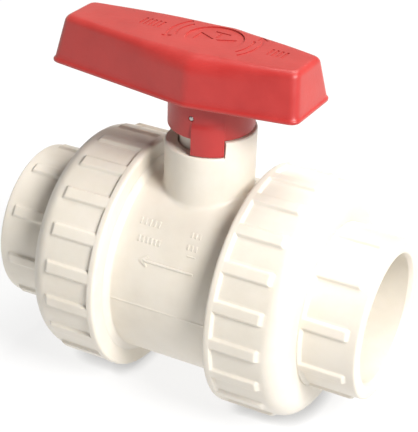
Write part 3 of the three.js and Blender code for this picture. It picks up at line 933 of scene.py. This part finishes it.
def cut_marks(shell, marks):
    """Cut outlines with their depths into the top of the grip; those in one call don't overlap."""
    v, f = [], []
    for points, deep in marks:
        moved = [(x + RECESS_MIDDLE[0], y + RECESS_MIDDLE[1]) for x, y in points]
        points_3d, faces = prism(moved, GRIP_TOP - deep, GRIP_TOP + 1.0)
        f += [tuple(i + len(v) for i in face) for face in faces]
        v += points_3d
    combine(shell, "DIFFERENCE", [mesh_object("marks", v, f, RED)], 40)


def grip_marks(shell):
    """Round recess with a plain valve symbol, turn arrows either side of it, and ticks beyond."""
    symbol = [[(-7.4, -3.6), (-0.3, 0.0), (-7.4, 3.6)], [(0.3, 0.0), (7.4, -3.6), (7.4, 3.6)],
              [(-0.5, 1.4), (0.5, 1.4), (0.5, 6.0), (3.2, 6.0), (3.2, 7.0), (-3.2, 7.0), (-3.2, 6.0),
               (-0.5, 6.0)]]
    lines, tips = [], []
    for side in (0, 180):
        lines += [band(16.9, 18.1, side - 34, side + 24), band(14.0, 15.0, side - 30, side + 20)]
        tips.append(arrow_tip(17.5, side + 23.6))
    lines += [upright_bar(22.5 + 1.9 * k, -3.4, 2.4) for k in range(4)]
    lines += [upright_bar(-30.5 + 1.9 * k, -3.0, 3.2) for k in range(5)]
    cut_marks(shell, [(arc(RECESS_R, np.arange(96) / 96 * TAU), RECESS_DEEP)])
    cut_marks(shell, [(q, RECESS_DEEP + MARK_DEEP) for q in symbol] + [(q, MARK_DEEP) for q in lines])
    cut_marks(shell, [(q, TIP_DEEP) for q in tips])


def hub_angles():
    """Columns round the hub, drawn together at the two sides of the stop tab."""
    angles = np.radians(np.arange(0, 360, 3.0))
    close = np.radians([-1.9, -1.2, -0.7, -0.25, 0.2, 0.6, 1.2, 1.9])
    for edge in np.radians([TAB_FROM, TAB_TO]):
        angles = angles[np.abs(wrap(angles - edge)) > math.radians(2.6)]
        angles = np.concatenate([angles, (edge + close) % TAU])
    return np.sort(angles)


def hub():
    """Round hub and stop tab in one skin, whose lower edge drops at the tab."""
    tab_long, tab_proud = 6.02, 0.8
    angles = hub_angles()
    deg = np.degrees(angles)
    tab = smooth(np.minimum(deg - TAB_FROM, TAB_TO - deg) + 0.1)
    bottom = NECK_TOP + 0.12 - tab_long * tab
    outside = HUB_R + tab_proud * tab
    chamfer = 0.75 * (1 - tab) + 0.5 * tab
    chamfer_tall = chamfer * 1.35
    rows = [(HUB_BORE_R, HUB_TOP), (HUB_BORE_R, 66.5), (HUB_BORE_R, bottom + 0.8),
            (HUB_BORE_R + 0.12, bottom + 0.3), (HUB_BORE_R + 0.4, bottom + 0.03), (HUB_BORE_R + 0.7, bottom)]
    rows += [(outside - chamfer * (1 - t) ** 1.6, bottom + chamfer_tall * t ** 1.7)
             for t in np.linspace(0, 1, 8)]
    rows += [(outside, bottom + chamfer_tall + 0.6), (outside, 64.5 - 1.3 * tab), (outside, 66.4),
             (HUB_R + 0.5 * tab, 67.4), (HUB_R + 0.12 * tab, 68.2), (HUB_R, 69.4), (HUB_R, 75.0),
             (HUB_R, HUB_TOP)]
    v = np.concatenate([level(angles, r, z) for r, z in rows])
    return mesh_object("hub", v, ring_faces(len(rows), len(angles)), RED, 45)


def handle():
    """Hollow grip with its webs and marks, joined to the hub and to the post over the stem."""
    post_r = 9.8
    shell = grip_shell()
    combine(shell, "UNION", grip_webs(), 35)
    grip_marks(shell)
    shell.data.transform(Matrix.Rotation(math.radians(GRIP_YAW), 4, "Z"))
    clear = turned("clear", [(60, 9.9, 0), (60, 13.3, 0), (90.8, 13.3, 0), (90.8, 9.9, 0)], RED, "z", 64)
    combine(shell, "DIFFERENCE", [clear], 35)
    post = plug("post", [(NECK_TOP, 0), (NECK_TOP, post_r - 0.5), (NECK_TOP + 0.5, post_r),
                         (HUB_TOP, post_r), (HUB_TOP, 0)], RED, "z", 64)
    combine(shell, "UNION", [hub(), post], 40)
    tie_top = HUB_TOP - 0.1
    ties = [box("tie", -14.5, -9, -1.1, 1.1, 66, tie_top, RED),
            box("tie", 9, 14.5, -1.1, 1.1, 66, tie_top, RED),
            box("tie", -1.1, 1.1, 9, 14.5, 66, tie_top, RED)]
    combine(shell, "UNION", ties, 40)
    square = box("square", -5.8, 5.8, -5.8, 5.8, 55, 73.3, RED)
    pin_way = across(plug("pin_way", [(-20, 0), (-20, 1.06), (-15.4, 1.06), (-15.4, 1.2), (-4, 1.2),
                                      (-4, 0)], RED, "x", 32))
    combine(shell, "DIFFERENCE", [square, pin_way], 40)
    finish_piece(shell, "stem_and_handle", "handle")


def handle_pin():
    """Steel cross pin with a slightly domed head on the front of the hub."""
    pin_r = 0.95
    ob = plug("handle_pin_steel", [(-16.32, 0), (-16.3, 0.45), (-16.24, 0.7), (-16.12, 0.86),
                                   (-15.95, pin_r), (-2.9, pin_r), (-2.6, 0.7), (-2.6, 0)],
              STEEL, "x", 32)
    finish_piece(across(ob), "stem_and_handle", "handle_pin")


handle()
handle_pin()


# ------------------------------------------------------------------ stage, light, camera
def floor():
    """Pale floor that glows and so lights the object from below; ambient occlusion dims the glow close under
    the object, which paints short contact shadows.
    """
    me = bpy.data.meshes.new("floor")
    half, painted_shadow_reach = 6.0, 0.007
    me.from_pydata([(-half, -half, 0), (half, -half, 0), (half, half, 0), (-half, half, 0)], [],
                   [(0, 1, 2, 3)])
    ob = bpy.data.objects.new("floor", me)
    scene.collection.objects.link(ob)
    m, tree, shader = new_material("floor_white")
    set_values(shader, {"Base Color": (0.2, 0.2, 0.2, 1), "Emission Color": (1, 1, 1, 1),
                        "Roughness": 0.9, "Specular IOR Level": 0.1})
    # painted contact shadow: the glow is dimmed where ambient occlusion finds the object close above the
    # floor
    near = tree.nodes.new("ShaderNodeAmbientOcclusion")
    near.samples = 16
    near.inputs["Distance"].default_value = painted_shadow_reach
    glow = remap(tree, near.outputs["AO"], 0.3, 0.85, 0.45, 0.8)
    tree.links.new(glow, shader.inputs["Emission Strength"])
    me.materials.append(m)


def lamp(name, at, size, power, colour):
    """Soft round lamp that points at the middle of the object."""
    d = bpy.data.lights.new(name, "AREA")
    d.shape = "DISK"
    d.size = size
    d.energy = power
    d.color = colour
    ob = bpy.data.objects.new(name, d)
    scene.collection.objects.link(ob)
    ob.location = Vector(at)
    ob.rotation_euler = (Vector((0, 0, 0.07)) - Vector(at)).to_track_quat("-Z", "Y").to_euler()


def sky():
    """White surroundings, pale low down where they stand behind the floor, and dim overhead."""
    world = bpy.data.worlds.new("studio")
    scene.world = world
    world.use_nodes = True
    tree = world.node_tree
    background = tree.nodes["Background"]
    background.inputs["Color"].default_value = (1.0, 0.995, 0.985, 1)
    coord = tree.nodes.new("ShaderNodeTexCoord")
    split = tree.nodes.new("ShaderNodeSeparateXYZ")
    tree.links.new(coord.outputs["Generated"], split.inputs["Vector"])
    fade = remap(tree, split.outputs["Z"], 0.12, 0.5, 0.5, 0.08)
    fade.node.interpolation_type = "SMOOTHSTEP"
    tree.links.new(fade, background.inputs["Strength"])
    scene.view_settings.view_transform = "Standard"
    scene.view_settings.look = "None"


def camera():
    """Camera at the photograph's viewing angle, to the right of the front and above."""
    azimuth, elevation, roll = (math.radians(a) for a in (26.85, 31.24, 1.97))
    distance = 0.55176
    data = bpy.data.cameras.new("camera")
    cam = bpy.data.objects.new("camera", data)
    scene.collection.objects.link(cam)
    back = Vector((math.sin(azimuth) * math.cos(elevation), -math.cos(azimuth) * math.cos(elevation),
                   math.sin(elevation)))
    right = (-back).cross(Vector((0, 0, 1))).normalized()
    up = right.cross(-back)
    turned_right = right * math.cos(roll) + up * math.sin(roll)
    turned_up = up * math.cos(roll) - right * math.sin(roll)
    place = back * distance + Vector((0, 0, AXIS_Z * MM))
    cam.matrix_world = Matrix((*zip(turned_right, turned_up, back, place), (0, 0, 0, 1)))
    data.sensor_width = 36
    data.lens = 117.17
    data.shift_x = 0.0058
    data.shift_y = 0.1152
    data.clip_start = 0.05
    data.clip_end = 30
    scene.camera = cam


floor()
lamp("key", (0.82, -0.37, 0.82), 0.48, 19.6, (1.0, 0.99, 0.98))
lamp("top", (0.1, 0.33, 0.96), 0.6, 8.0, (1.0, 0.985, 0.96))
sky()
camera()
